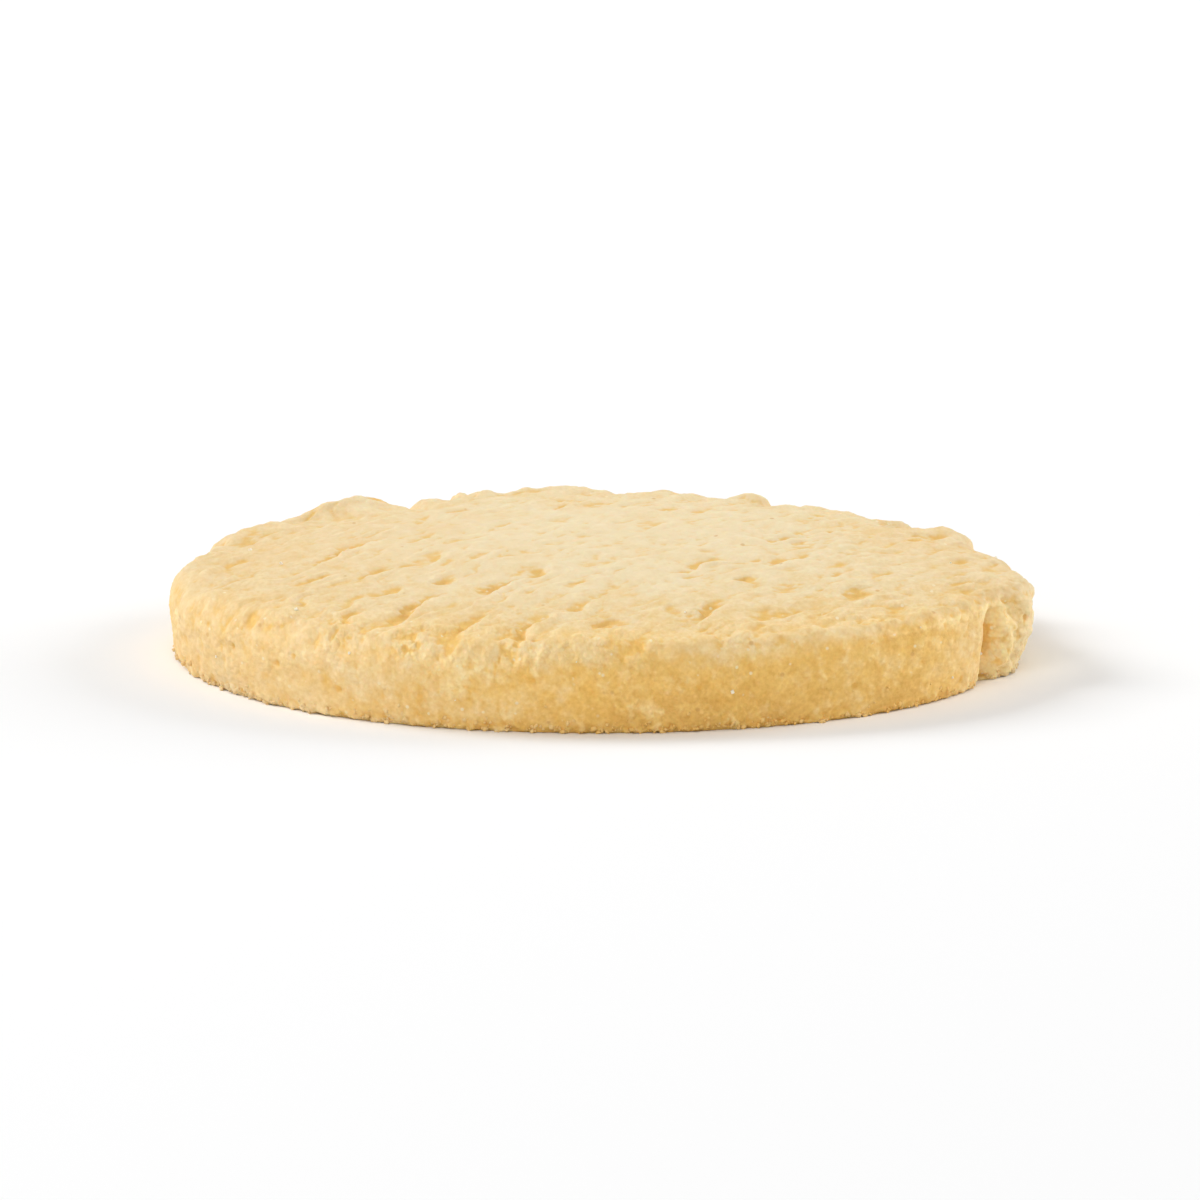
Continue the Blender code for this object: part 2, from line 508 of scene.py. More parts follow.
class Graph:
    """The nodes of one material, added from Python."""

    def __init__(self, name: str) -> None:
        """Start a material of this name with only its output node."""
        self.material = bpy.data.materials.new(name)
        self.material.use_nodes = True
        self.tree = self.material.node_tree
        self.tree.nodes.clear()
        self.output = self.tree.nodes.new("ShaderNodeOutputMaterial")

    def add(
        self,
        kind: str,
        settings: dict[str, Any] | None = None,
        inputs: dict[str | int, Value] | None = None,
        out: str | int = 0,
    ) -> Socket:
        """Add one node of any type.

        Args:
            kind: The node's type.
            settings: The node's own properties, which are set first.
            inputs: For each input, by name or number, a value or a socket.
            out: The output that is wanted, by name or number.

        Returns:
            That output.
        """
        node = self.tree.nodes.new(kind)
        for name, value in (settings or {}).items():
            setattr(node, name, value)
        for name, value in (inputs or {}).items():
            if isinstance(value, Socket):
                self.tree.links.new(value.link, node.inputs[name])
            else:
                node.inputs[name].default_value = value
        return Socket(self, node.outputs[out])

    @cached_property
    def place(self) -> Socket:
        """The object's own coordinates, in metres, with y shrunk.

        It draws the textures out along y, roughly as the wire combed the top.
        """
        own = self.add("ShaderNodeTexCoord", out="Object")
        return self.add("ShaderNodeVectorMath", {"operation": "MULTIPLY"}, {0: own, 1: (1.0, 0.5, 1.0)})

    def attribute(self, name: str) -> Socket:
        """A number that the mesh holds for each vertex."""
        return self.add("ShaderNodeAttribute", {"attribute_name": name}, out="Fac")

    def noise(self, size: float, detail: float = 2.0, roughness: float = 0.5) -> Socket:
        """Soft noise from 0 to 1, with rises about size metres apart."""
        inputs = {"Vector": self.place, "Scale": 1.0 / size, "Detail": detail, "Roughness": roughness}
        return self.add("ShaderNodeTexNoise", None, inputs, "Fac")

    def cells(self, size: float) -> Socket:
        """The distance, in cells, to points scattered about size metres apart."""
        inputs = {"Vector": self.place, "Scale": 1.0 / size}
        return self.add("ShaderNodeTexVoronoi", None, inputs, "Distance")

    def mix(self, amount: Value, base: Value, top: Value, blend: Blend = Blend.OVER) -> Socket:
        """Put one colour on another by an amount from 0 to 1."""
        settings = {"data_type": "RGBA", "blend_type": blend.value}
        return self.add("ShaderNodeMix", settings, {0: amount, 6: base, 7: top}, 2)

    def bump(self, height: Value, distance: float) -> Socket:
        """A normal that follows a height from 0 to 1, distance metres high."""
        inputs = {"Height": height, "Distance": distance, "Strength": 1.0}
        return self.add("ShaderNodeBump", None, inputs, "Normal")

    def finish(self, inputs: dict[str | int, Value]) -> bpy.types.Material:
        """Close the graph with a Principled shader and return the material."""
        shader = self.add("ShaderNodeBsdfPrincipled", None, inputs)
        self.tree.links.new(shader.link, self.output.inputs["Surface"])
        return self.material


# ---------------------------------------------------------------- finishes


def opaque(colour: Colour) -> tuple[float, float, float, float]:
    """The colour with full opacity, as a colour socket takes it."""
    return (*colour, 1.0)


@dataclass(frozen=True)
class BakedDough:
    """Pale, matt, sandy crust that turns golden down the wall."""

    pale: Colour = (0.82, 0.668, 0.413)
    golden: Colour = (0.785, 0.492, 0.138)
    deep: Colour = (0.71, 0.41, 0.10)
    # paler dough where it bakes least, and also the painted highlight on crests
    cream_and_highlight: Colour = (0.88, 0.74, 0.48)
    # painted highlight on crests where the crust is golden
    golden_highlight: Colour = (0.89, 0.67, 0.33)
    crumb: Colour = (0.96, 0.74, 0.38)
    # painted shade in hollows, furrows, cracks and seams
    hollow_shade: Colour = (0.79, 0.475, 0.12)
    ruddy: Colour = (0.81, 0.575, 0.29)
    speck: Colour = (0.60, 0.31, 0.09)
    spark: Colour = (0.93, 0.81, 0.56)
    roughness: float = 0.82
    gloss: float = 0.28
    softness: float = 0.32  # share of the light that passes under the surface
    light_reach: float = 0.4 * MM  # how far that light spreads
    relief: float = 0.16 * MM
    # sizes of the noise that mottles the crust
    broad_size: float = 6.0 * MM
    lump_size: float = 2.2 * MM
    grain_size: float = 0.9 * MM
    fine_size: float = 0.30 * MM
    cell_size: float = 0.42 * MM
    spark_size: float = 0.8 * MM
    speck_size: float = 1.9 * MM

    def material(self) -> bpy.types.Material:
        """Build the finish from the mesh's numbers and noise.

        Bake, from 0 to above 1, leads from pale to deep gold. Heat reddens it,
        loose dough shows its crumb, crests get a painted pale highlight and
        hollows a painted yellow-brown shade. Mottle shades it finely, and a few
        light sparks and dark specks lie on top.
        """
        graph = Graph("baked_dough")
        crust = graph.attribute("crust")
        # 0 on crests and 1 in hollows: it places the painted highlight and the painted shade
        hollow = graph.attribute("hollow")
        loose = graph.attribute("loose")
        ruddy = graph.attribute("ruddy")
        broad = graph.noise(self.broad_size)
        lump = graph.noise(self.lump_size)
        grain = graph.noise(self.grain_size, 3.0, 0.6)
        fine = graph.noise(self.fine_size)
        cell = graph.cells(self.cell_size)

        bake = crust + (0.45 + 0.20 * crust) * (broad - 0.5) + (0.4 + 0.6 * crust) * (lump - 0.5)
        bake = bake + (0.2 + 0.6 * crust) * (grain - 0.5)
        colour = graph.mix(bake.above(0.0, 1.0), opaque(self.pale), opaque(self.golden))
        colour = graph.mix(bake.below(-0.45, 0.0), colour, opaque(self.cream_and_highlight))
        colour = graph.mix(0.8 * bake.above(0.85, 1.4), colour, opaque(self.deep))
        heat = 0.55 * ruddy + 0.30 * broad.above(0.55, 0.75)
        colour = graph.mix(heat * (1.2 - crust), colour, opaque(self.ruddy))
        colour = graph.mix(0.60 * loose.above(0.80, 1.0), colour, opaque(self.crumb))
        # Painted shade and highlight: depth follows the hollows and crests of the relief, roughened by noise;
        # crests are lightened and hollows darkened to yellow-brown
        depth = hollow + 0.30 * (grain - 0.5) + 0.25 * (lump - 0.5) + 0.35 * loose * (cell - 0.45)
        crest = graph.mix(crust.above(0.15, 0.60), opaque(self.cream_and_highlight), opaque(self.golden_highlight))
        colour = graph.mix(0.40 * depth.below(0.05, 0.45), colour, crest)
        colour = graph.mix(0.85 * depth.above(0.52, 1.15), colour, opaque(self.hollow_shade))
        mottle = (0.10 + 0.28 * crust) * (grain - 0.5) + (0.03 + 0.52 * crust) * (fine - 0.5)
        # painted light: the shoulder and the wall are brightened where the crust is thicker, a little less on
        # the most golden crust
        light = 1.0 + 0.10 * crust.above(0.38, 0.60) - 0.03 * crust.above(0.8, 1.1)
        colour = graph.mix(1.0, colour, self._shade(graph, light, mottle), Blend.TINT)

        sparks = graph.cells(self.spark_size).below(0.10, 0.22) * graph.noise(1.3 * MM, 0.0).above(0.55, 0.62)
        colour = graph.mix(0.7 * loose.above(0.1, 0.5) * sparks, colour, opaque(self.spark))
        dots = graph.cells(self.speck_size).below(0.05, 0.12)
        chance = graph.noise(2.6 * MM, 0.0).above(0.52, 0.58)
        colour = graph.mix(0.55 * dots * chance, colour, opaque(self.speck))

        height = (0.34 + 0.40 * loose) * grain + (0.04 + 0.50 * loose) * fine - (0.05 + 0.70 * loose) * cell
        return graph.finish(
            {
                "Base Color": colour,
                "Roughness": self.roughness,
                "Specular IOR Level": self.gloss,
                "Subsurface Weight": self.softness,
                "Subsurface Radius": (1.0, 0.5, 0.25),
                "Subsurface Scale": self.light_reach,
                "Normal": graph.bump(height, self.relief),
            }
        )

    @staticmethod
    def _shade(graph: Graph, light: Socket, mottle: Socket) -> Socket:
        """A tint from the painted brightening, deeper and warmer where mottle is high."""
        inputs = {0: light - 0.65 * mottle, 1: light - 1.0 * mottle, 2: light - 1.6 * mottle}
        return graph.add("ShaderNodeCombineColor", None, inputs)


@dataclass(frozen=True)
class SugarCrystal:
    """Clear white sugar with a little sparkle."""

    colour: Colour = (0.93, 0.85, 0.68)
    cloudy: Colour = (0.95, 0.82, 0.60)

    def material(self) -> bpy.types.Material:
        """Build the finish, clouded a little by noise."""
        graph = Graph("sugar")
        cloud = graph.noise(0.4 * MM)
        colour = graph.mix(0.5 * cloud, opaque(self.colour), opaque(self.cloudy))
        return graph.finish(
            {
                "Base Color": colour,
                "Roughness": 0.25 + 0.2 * cloud,
                "Subsurface Weight": 0.3,
                "Subsurface Radius": (1.0, 0.8, 0.6),
                "Subsurface Scale": 0.5 * MM,
            }
        )


@dataclass(frozen=True)
class StudioPaper:
    """Plain white paper under the biscuit."""

    colour: Colour = (0.93, 0.93, 0.93)
    glow: Colour = (0.58, 0.58, 0.58)  # light of its own, far from the biscuit
    glow_start: float = 0.25
    glow_full: float = 1.00

    def material(self) -> bpy.types.Material:
        """Build the finish: far out, a glow keeps the background white."""
        graph = Graph("studio_paper")
        own = graph.add("ShaderNodeTexCoord", out="Object")
        far = graph.add("ShaderNodeVectorMath", {"operation": "LENGTH"}, {0: own}, "Value")
        amount = far.above(self.glow_start, self.glow_full)
        glow = graph.mix(amount, opaque((0.0, 0.0, 0.0)), opaque(self.glow))
        return graph.finish(
            {
                "Base Color": opaque(self.colour),
                "Roughness": 0.9,
                "Specular IOR Level": 0.0,
                "Emission Color": glow,
                "Emission Strength": 1.0,
            }
        )


# ---------------------------------------------------------------- pieces


def mesh_object(
    name: str, points: Array, faces: list[list[int]], material: bpy.types.Material
) -> bpy.types.Object:
    """Put points and faces into a new object at the origin.

    Args:
        name: The object's name.
        points: One row of three for each vertex, in metres.
        faces: The vertex numbers of each face, counter-clockwise from outside.
        material: The finish of every face.

    Returns:
        The object, linked to the scene.
    """
    mesh = bpy.data.meshes.new(name)
    mesh.from_pydata(points.tolist(), [], faces)
    mesh.materials.append(material)
    mesh.update()
    item = bpy.data.objects.new(name, mesh)
    bpy.context.scene.collection.objects.link(item)
    return item


def give_numbers(item: bpy.types.Object, numbers: dict[str, Array]) -> None:
    """Store numbers on a piece's mesh, one of each name for each vertex."""
    for name, values in numbers.items():
        attribute = item.data.attributes.new(name, "FLOAT", "POINT")
        attribute.data.foreach_set("value", values.astype(np.float32))


def attach(item: bpy.types.Object) -> None:
    """Let a piece ride on the biscuit's body, and log how many faces it has."""
    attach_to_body(item, BODY)
    LOG.info("%s: %d faces", item.name, len(item.data.polygons))


@dataclass
class Skin:
    """The bare form of the biscuit before its relief, as rows of numbers."""

    points: Array
    outward: Array  # unit vectors
    tilt: Array  # 0 where the skin faces up, 90 degrees on the wall, 180 below
    angle: Array  # round the biscuit
    inset: Array  # share of the radius, 0 in the middle and 1 at the rim

    @classmethod
    def joined(cls, parts: list[Skin]) -> Skin:
        """One skin with the rows of all the parts, in their order."""
        rows = ([getattr(part, column.name) for part in parts] for column in fields(cls))
        return cls(*map(np.concatenate, rows))


@dataclass
class Relief:
    """What the dough's surface adds to the bare form, and what is cut from it.

    Furrows and dents cut the top and cracks cut the wall. Broad swells, combed
    ripples, lumps and dimples lie over all of it, more on the top than on the
    pressed wall. Grains with open seams between them roughen the shoulder and
    patches elsewhere, and pits are scattered over everything.
    """

    skin: Skin
    half: float  # half of the biscuit's diameter
    # how high or deep each kind of relief is
    swell_height: float = 0.11 * MM
    ripple_height: float = 0.21 * MM
    lump_height: float = 0.11 * MM
    dimple_depth: float = 0.17 * MM
    pit_depth: float = 0.22 * MM
    knob_height: float = 0.22 * MM
    broken_height: float = 0.30 * MM
    bite_depth: float = 0.30 * MM
    # how far the marks of the top are shifted, and by which noise
    warps: tuple[tuple[float, Swell], ...] = (
        (0.65 * MM, Swell(Draw.SWELL, 3.2 * MM)),
        (0.26 * MM, Swell(Draw.GRAIN, 1.3 * MM, 2)),
    )
    # the noise and the scattered points behind each kind of relief
    bends: Swell = Swell(Draw.GRAIN, 1.6 * MM)  # of seams and cracks
    patches: Swell = Swell(Draw.CRUMBLE, 4.5 * MM, 2)  # of looser dough
    tears: Swell = Swell(Draw.GRAIN, 1.0 * MM, 2, 0.7)  # in furrows and dents
    gaps: Swell = Swell(Draw.GRAIN, 1.1 * MM)  # in cracks
    teeth: Swell = Swell(Draw.FOOT, 0.9 * MM, 2, 0.8)  # of the bitten foot
    broad: Swell = Swell(Draw.SWELL, 5.0 * MM, 2)
    ripple_step: float = 1.9 * MM
    ripple_bends: Swell = Swell(Draw.COMB, 2.6 * MM)
    ripple_patches: Swell = Swell(Draw.COMB, 1.9 * MM)
    ripple_streaks: Swell = Swell(Draw.COMB, 1.7 * MM, 2, 0.6)
    top_lumps: Swell = Swell(Draw.GRAIN, 1.4 * MM, 3, 0.65)
    wall_lumps: Swell = Swell(Draw.GRAIN, 1.6 * MM, 3, 0.6)
    rim_knobs: Swell = Swell(Draw.KNOBS, 2.6 * MM, 2, 0.6)
    broken_knobs: Swell = Swell(Draw.KNOBS, 1.7 * MM, 2, 0.6)
    dimple_spots: Scatter = Scatter(Draw.DIMPLES, 2.1 * MM)
    pit_spots: Scatter = Scatter(Draw.PITS, 1.5 * MM)
    grains: tuple[Band, ...] = ((1.1, 0.13), (0.62, 0.09))  # size and height, in mm
    seam: float = 0.035  # how deep the seams between grains are, in mm
    # where the relief differs round the rim
    broken_face: RimFeature = RimFeature(-17.0, 9.0, 18.0, 1.0)
    crumbled: RimFeature = RimFeature(-14.0, 12.0, 18.0, 0.5)  # how much looser it is there
    pressed_sides: tuple[RimFeature, ...] = (
        RimFeature(-94.0, 8.0, 8.0, 1.0),
        RimFeature(-66.0, 10.0, 10.0, 0.4),
        RimFeature(-42.0, 16.0, 14.0, 0.7),
        RimFeature(-134.0, 26.0, 26.0, 0.6),
        RimFeature(55.0, 18.0, 14.0, 0.8),
        RimFeature(105.0, 12.0, 16.0, 0.7),
        RimFeature(165.0, 14.0, 18.0, 0.7),
    )
    hollows: tuple[Hollow, ...] = (
        Hollow(19.2 * MM, -13.5 * MM, 4.0 * MM, 2.2 * MM, 0.42 * MM, 75.0),
        Hollow(8.3 * MM, -20.5 * MM, 5.0 * MM, 1.9 * MM, 0.22 * MM, 65.0),
        Hollow(14.3 * MM, -12.0 * MM, 4.0 * MM, 1.8 * MM, 0.20 * MM, 62.0),
        Hollow(11.5 * MM, -10.5 * MM, 2.0 * MM, 1.3 * MM, 0.30 * MM, 60.0),
        Hollow(1.2 * MM, -24.0 * MM, 3.0 * MM, 1.6 * MM, 0.35 * MM, 60.0),
        Hollow(-10.8 * MM, -10.8 * MM, 2.2 * MM, 1.6 * MM, 0.28 * MM, 60.0),
        Hollow(-13.6 * MM, -26.5 * MM, 3.4 * MM, 2.4 * MM, 0.50 * MM, 80.0),
        Hollow(24.5 * MM, 8.5 * MM, 5.0 * MM, 2.4 * MM, 0.30 * MM, 60.0),
    )
    cracks: tuple[Crack, ...] = (
        Crack(-103.0, 0.36 * MM, 0.11 * MM, sway=3.2),
        Crack(-22.0, 0.75 * MM, 0.30 * MM, high=4.4 * MM),
        Crack(-90.5, 0.25 * MM, 0.30 * MM, 2.6 * MM, 4.0 * MM),
        Crack(-84.5, 0.32 * MM, 0.30 * MM, 5.0 * MM),
        Crack(-56.5, 0.30 * MM, 0.50 * MM, -1.0 * MM, 0.9 * MM),
        Crack(28.0, 0.45 * MM, 0.45 * MM),
        Crack(88.0, 0.40 * MM, 0.35 * MM, 1.5 * MM),
        Crack(151.0, 0.40 * MM, 0.30 * MM, 0.0, 4.5 * MM),
    )

    # ---- where a vertex lies

    @cached_property
    def place(self) -> Array:
        """The vertices of the bare form."""
        return self.skin.points

    @cached_property
    def slope(self) -> Array:
        """Each vertex's tilt in degrees."""
        return np.degrees(self.skin.tilt)

    @cached_property
    def upper(self) -> Array:
        """1 on the top and 0 on the wall, with the change low on the shoulder."""
        return smooth(self.slope, 84.0, 50.0)

    @cached_property
    def above(self) -> Array:
        """1 everywhere but 0 on the underside, which stays flat."""
        return smooth(self.slope, 178.0, 120.0)

    @cached_property
    def wander(self) -> Array:
        """Smooth noise that bends seams and cracks."""
        return self.bends.at(self.place)

    @cached_property
    def warped(self) -> tuple[Array, Array]:
        """Each vertex's x and y, shifted by wide and by fine noise."""
        shifts = (0.0, 0.1)  # far enough apart that x and y move independently
        flat = self.place[:, :2]
        for reach, swell in self.warps:
            flat = flat + reach * np.column_stack([swell.at(self.place + shift) for shift in shifts])
        x, y = flat.T
        return x, y

    @cached_property
    def pulled(self) -> tuple[Array, Array]:
        """How far each warped vertex lies along the wire's path, and across it."""
        return turned(*self.warped, WireMarks.bearing)

    @cached_property
    def drawn(self) -> Array:
        """The vertices in a space that draws noise out along the wire's path."""
        along, across = self.pulled
        return np.column_stack((0.5 * along, across, self.place[:, 2]))

    @cached_property
    def loose(self) -> Array:
        """How loose and grainy the dough is, from 0 where it was pressed to 1.

        It is strong on the front shoulder and at the broken block, weak on the
        top, and absent in pressed patches of the wall.
        """
        side = smooth(self.slope, 45.0, 80.0)
        shoulder = smooth(self.skin.inset, 0.82, 0.98) * (1.0 - side)
        front = smooth(-self.place[:, 1], 6.0 * MM, 24.0 * MM)
        patches = smooth(self.patches.at(self.place), -0.35, 0.45)
        low = smooth(self.place[:, 2], 6.0 * MM, 3.8 * MM)
        pressed = sum(item.reach * item.share(self.skin.angle) ** 0.5 for item in self.pressed_sides)
        pressed = np.clip(low * side * pressed, 0.0, 1.0)
        broken = self.crumbled.amount(self.skin.angle) * smooth(self.skin.inset, 0.9, 1.0)
        top = 0.22 * patches * (1.0 - side) + shoulder * (0.18 + 0.44 * front) * (0.3 + 0.7 * patches)
        wall = side * (0.50 + 0.45 * patches) * (1.0 - 0.75 * pressed)
        return np.clip(top + wall + broken, 0.0, 1.0)

    # ---- what is cut away

    def marks(self) -> Array:
        """The furrows and dents of the top, with ragged depths."""
        ragged = np.clip(0.85 + 0.60 * self.tears.at(self.place), 0.25, 1.6)
        ragged = ragged * (1.0 - 0.30 * smooth(self.skin.inset, 0.85, 1.0))
        dents = sum(item.depth_at(*self.warped) for item in self.hollows)
        return self.upper * (WireMarks(self.half).depth_at(*self.warped) + dents) * ragged

    def splits(self) -> Array:
        """The cracks of the wall, deeper by patches and where the dough is loose."""
        angle, height = self.skin.angle, self.place[:, 2]
        depth = sum(item.depth_at(angle, height, self.wander, self.half) for item in self.cracks)
        patchy = 0.35 + 1.1 * smooth(self.gaps.at(self.place + 0.3), -0.3, 0.6)
        return depth * smooth(self.slope, 20.0, 60.0) * self.above * patchy * (0.4 + 0.6 * self.loose)

    @cached_property
    def dimples(self) -> Array:
        """Small dents scattered over the top, deeper on the right."""
        near, _, chance = self.dimple_spots.nearest(self.drawn + 0.25 * MM * self.wander[:, None])
        right = 0.9 + 0.6 * smooth(self.place[:, 0], -4.0 * MM, 18.0 * MM)
        return self.dimple_depth * chance * smooth(near, 0.46, 0.10) * self.upper * right

    def pits(self) -> Array:
        """Small round holes, fewer and fainter on the top."""
        near, _, chance = self.pit_spots.nearest(self.place)
        return self.pit_depth * (chance > 0.70) * smooth(near, 0.24, 0.08) * (1.0 - 0.6 * self.upper)

    def foot_bites(self) -> Array:
        """How far the ragged foot is bitten back, in the last of the wall."""
        low = smooth(self.place[:, 2], 1.2 * MM, 0.1 * MM) * smooth(self.slope, 178.0, 135.0)
        return low * (self.skin.tilt > 0.3) * self.bite_depth * (self.teeth.at(self.place) + 0.2)

    # ---- what stands up

    def swells(self) -> Array:
        """Broad rises and falls."""
        return self.swell_height * self.broad.at(self.place) * (0.7 + 0.6 * self.upper)

    def ripples(self) -> Array:
        """Overlapping scales that the wire combed up.

        Across the wire's path the height falls evenly over most of a step and
        climbs back up over the rest. Noise that is long along the path shifts
        the steps, and patches of noise say where the scales stand out. They are
        strongest on the left and towards the front.
        """
        along, across = self.pulled
        squeezed = np.column_stack((0.22 * along, across, np.zeros(len(along))))
        shorter = squeezed * (1.8, 1.0, 1.0)
        phase = (across / self.ripple_step + 0.9 * self.ripple_bends.at(shorter)) % 1.0
        scale = 0.5 - phase + smooth(phase, 0.80, 1.0)
        strong = smooth(self.ripple_patches.at(shorter + 0.05), -0.35, 0.45)
        x, y, _ = self.place.T
        side = 0.35 + 0.65 * smooth(-x - 0.5 * y, -14.0 * MM, 16.0 * MM)
        streaks = 0.35 * self.ripple_streaks.at(squeezed)
        return self.upper * self.ripple_height * (strong * side * scale + streaks)

    def lumps(self) -> Array:
        """Small lumps: drawn out along the wire's path on the top, higher on the wall."""
        level = smooth(self.slope, 42.0, 10.0)
        lumps = level * self.top_lumps.at(self.drawn) + (1.0 - level) * self.wall_lumps.at(self.place)
        right = 1.0 + 0.32 * self.upper * (2.0 * smooth(self.place[:, 0], -18.0 * MM, 18.0 * MM) - 1.0)
        return self.lump_height * lumps * (1.5 - 0.5 * self.upper) * right

    def knobs(self) -> Array:
        """Larger knobs along the rim of the top and on the broken face."""
        rim = smooth(self.skin.inset, 0.80, 0.97) * self.upper
        broken = self.broken_face.share(self.skin.angle) * smooth(self.slope, 30.0, 80.0)
        along_rim = rim * self.knob_height * self.rim_knobs.at(self.place)
        return along_rim + broken * self.broken_height * self.broken_knobs.at(self.place)

    def granules(self) -> Array:
        """Packed grains in two sizes: domes, higher by chance, between narrow seams."""
        total = np.zeros(len(self.place))
        for size, dome in self.grains:
            moved = self.place + 0.14 * MM * self.wander[:, None] + size  # a lattice of its own
            near, second, chance = Scatter(Draw.CRUMBLE, size * MM).nearest(moved)
            total += dome * (0.3 + chance) * (0.6 - near) - self.seam * smooth(second - near, 0.28, 0.02)
        return self.loose * MM * total

    # ---- all of it

    @cached_property
    def cuts(self) -> Array:
        """How deep each vertex is cut by furrows, dents, cracks and dimples.

        Half of a dimple counts as a cut, and half as a fall of the surface.
        """
        return self.marks() + 0.5 * self.dimples + self.splits()

    def outwards(self) -> Array:
        """How far each vertex moves along the skin's outward direction."""
        raised = self.swells() + self.ripples() + self.lumps() + self.knobs() + self.granules()
        raised = raised - self.pits() - 0.5 * self.dimples
        return self.above * raised - self.cuts - self.foot_bites()

    def roughness(self) -> Array:
        """How grainy the finish is: by looseness, and more in torn cuts."""
        return np.clip(self.loose + 0.45 * smooth(self.cuts, 0.08 * MM, 0.34 * MM), 0.0, 1.0)


@dataclass
class BiscuitBody:
    """The baked piece: one closed skin over top, shoulder, wall, foot and base."""

    crown: float  # height in the middle
    diameter: float = 62.0 * MM
    rim_fall: float = 1.1 * MM
    left_lean: float = 0.30 * MM
    shoulder_run: float = 2.9 * MM
    shoulder_drop: float = 2.6 * MM
    tight: RimFeature = RimFeature(-34.0, 46.0, 70.0, 0.6)  # how much tighter the shoulder is
    base_tuck: float = 0.40 * MM
    foot_round: float = 0.50 * MM
    rim_fade: int = 4  # power of the radius with which the rim's unevenness fades inwards
    lump_fade: int = 14  # the same for the lumps on the rim
    # depths below the top's edge between which a feature grows to its whole reach
    break_start: float = 0.4 * MM
    break_full: float = 2.9 * MM
    ragged: RimFeature = RimFeature(-17.0, 9.0, 14.0, 4.0)  # where edges stray, by how many degrees
    ragged_noise: Swell = Swell(Draw.FOOT, 2.8 * MM, 3, 0.7)
    pale_corner: RimFeature = RimFeature(-2.0, 24.0, 30.0, 0.12)  # how much paler the rim is here
    cells: int = 214  # along each side of the square behind the top
    shoulder_rings: int = 16
    wall_rings: int = 20
    foot_rings: int = 4
    base_rings: int = 12
    # for the painted shade of hollows: rounds of averaging, share of the hollow number, and the depth that
    # counts as 1
    shading: tuple[tuple[int, float, float], ...] = ((5, 0.35, 0.11 * MM), (60, 0.40, 0.26 * MM))
    cut_shading: tuple[int, float, float] = (1, 0.36, 0.35 * MM)

    item: bpy.types.Object = field(init=False)  # these two are set by build()
    skin: Skin = field(init=False)

    features: tuple[RimFeature, ...] = (
        # the broken block on the right, the notch before it and the flats behind it
        RimFeature(-12.5, 8.5, 16.0, 1.5 * MM, tuck=0.55 * MM),
        RimFeature(-18.0, 3.5, 6.0, 0.75 * MM, tuck=0.6 * MM),
        RimFeature(-22.0, 4.0, 3.5, -0.90 * MM, top=0.0),
        RimFeature(9.5, 4.0, 4.0, -0.5 * MM),
        RimFeature(16.5, 13.0, 12.0, -1.05 * MM),
        RimFeature(25.5, 7.0, 5.0, 0.3 * MM, 0.25 * MM),
        RimFeature(34.0, 5.5, 4.5, -0.8 * MM, -0.75 * MM),
        # lumps and dips of the back rim
        RimFeature(46.0, 14.0, 14.0, 0.0, -0.35 * MM),
        RimFeature(62.2, 7.0, 1.3, 0.0, -0.75 * MM),
        RimFeature(65.8, 3.0, 4.0, 0.0, 0.45 * MM),
        RimFeature(79.0, 5.0, 4.0, 0.0, 0.25 * MM),
        RimFeature(85.5, 3.5, 2.5, 0.0, -0.22 * MM),
        RimFeature(97.0, 14.0, 16.0, 0.0, 0.42 * MM),
        RimFeature(107.0, 4.0, 3.0, 0.0, 0.35 * MM),
        RimFeature(110.3, 1.3, 1.0, 0.0, 0.45 * MM),
        RimFeature(120.8, 4.5, 3.0, -0.35 * MM, -1.10 * MM),
        RimFeature(124.8, 1.8, 8.0, 0.25 * MM, 0.75 * MM),
        RimFeature(132.5, 8.0, 10.0, 0.1 * MM, 0.95 * MM),
        RimFeature(152.0, 13.0, 14.0, 0.0, 0.40 * MM),
        # the flatter left side
        RimFeature(160.5, 4.5, 4.0, -0.45 * MM),
        RimFeature(165.0, 14.0, 14.0, -0.40 * MM),
        RimFeature(180.0, 50.0, 50.0, -0.30 * MM),
    )
    baked_sides: tuple[RimFeature, ...] = (
        RimFeature(-76.0, 56.0, 72.0, 0.36),
        RimFeature(-42.0, 16.0, 14.0, 0.20),
        RimFeature(-10.0, 12.0, 18.0, -0.55),
        RimFeature(60.0, 60.0, 70.0, 0.30),
        RimFeature(-158.0, 26.0, 40.0, -0.14),
    )
    waves: tuple[tuple[int, float, float], ...] = (
        (2, 0.25 * MM, 0.6),
        (3, 0.15 * MM, 2.1),
        (5, 0.12 * MM, 4.0),
    )

    # ---- bare form

    def rim_offset(self, angle: Array, level: Array | float) -> Array:
        """How far the wall stands outside a true circle.

        Args:
            angle: The angles round the biscuit.
            level: 0 at the top's edge and 1 low on the wall. Between them a
                feature goes from its share at the top to its whole reach.

        Returns:
            One distance for each angle.
        """
        waves = sum(size * np.cos(count * angle + phase) for count, size, phase in self.waves)
        grown = ((item.top + (1.0 - item.top) * level) * item.amount(angle) for item in self.features)
        return waves + sum(grown)

    def wall_radius(self, angle: Array, level: Array | float = 1.0) -> Array:
        """The radius of the wall at its widest, as the given level has it."""
        return 0.5 * self.diameter + self.rim_offset(angle, level)

    def level(self, below: Array) -> Array:
        """The level, as rim_offset takes it, at each depth below the top's edge."""
        return smooth(below, self.break_start, self.break_full)

    def shoulder_scale(self, angle: Array) -> Array:
        """The shoulder's size at each angle, as a share of its full size."""
        return 1.0 - self.tight.amount(angle)

    def wobble(self, angle: Array, height: Array) -> Array:
        """How far, in radians, the broken block's edges stray at each height."""
        half = 0.5 * self.diameter
        place = np.column_stack((half * np.cos(angle), half * np.sin(angle), height))
        stray = self.ragged.amount(angle) * smooth(height, 0.0, 1.5 * MM)
        return np.radians(stray) * self.ragged_noise.at(place)

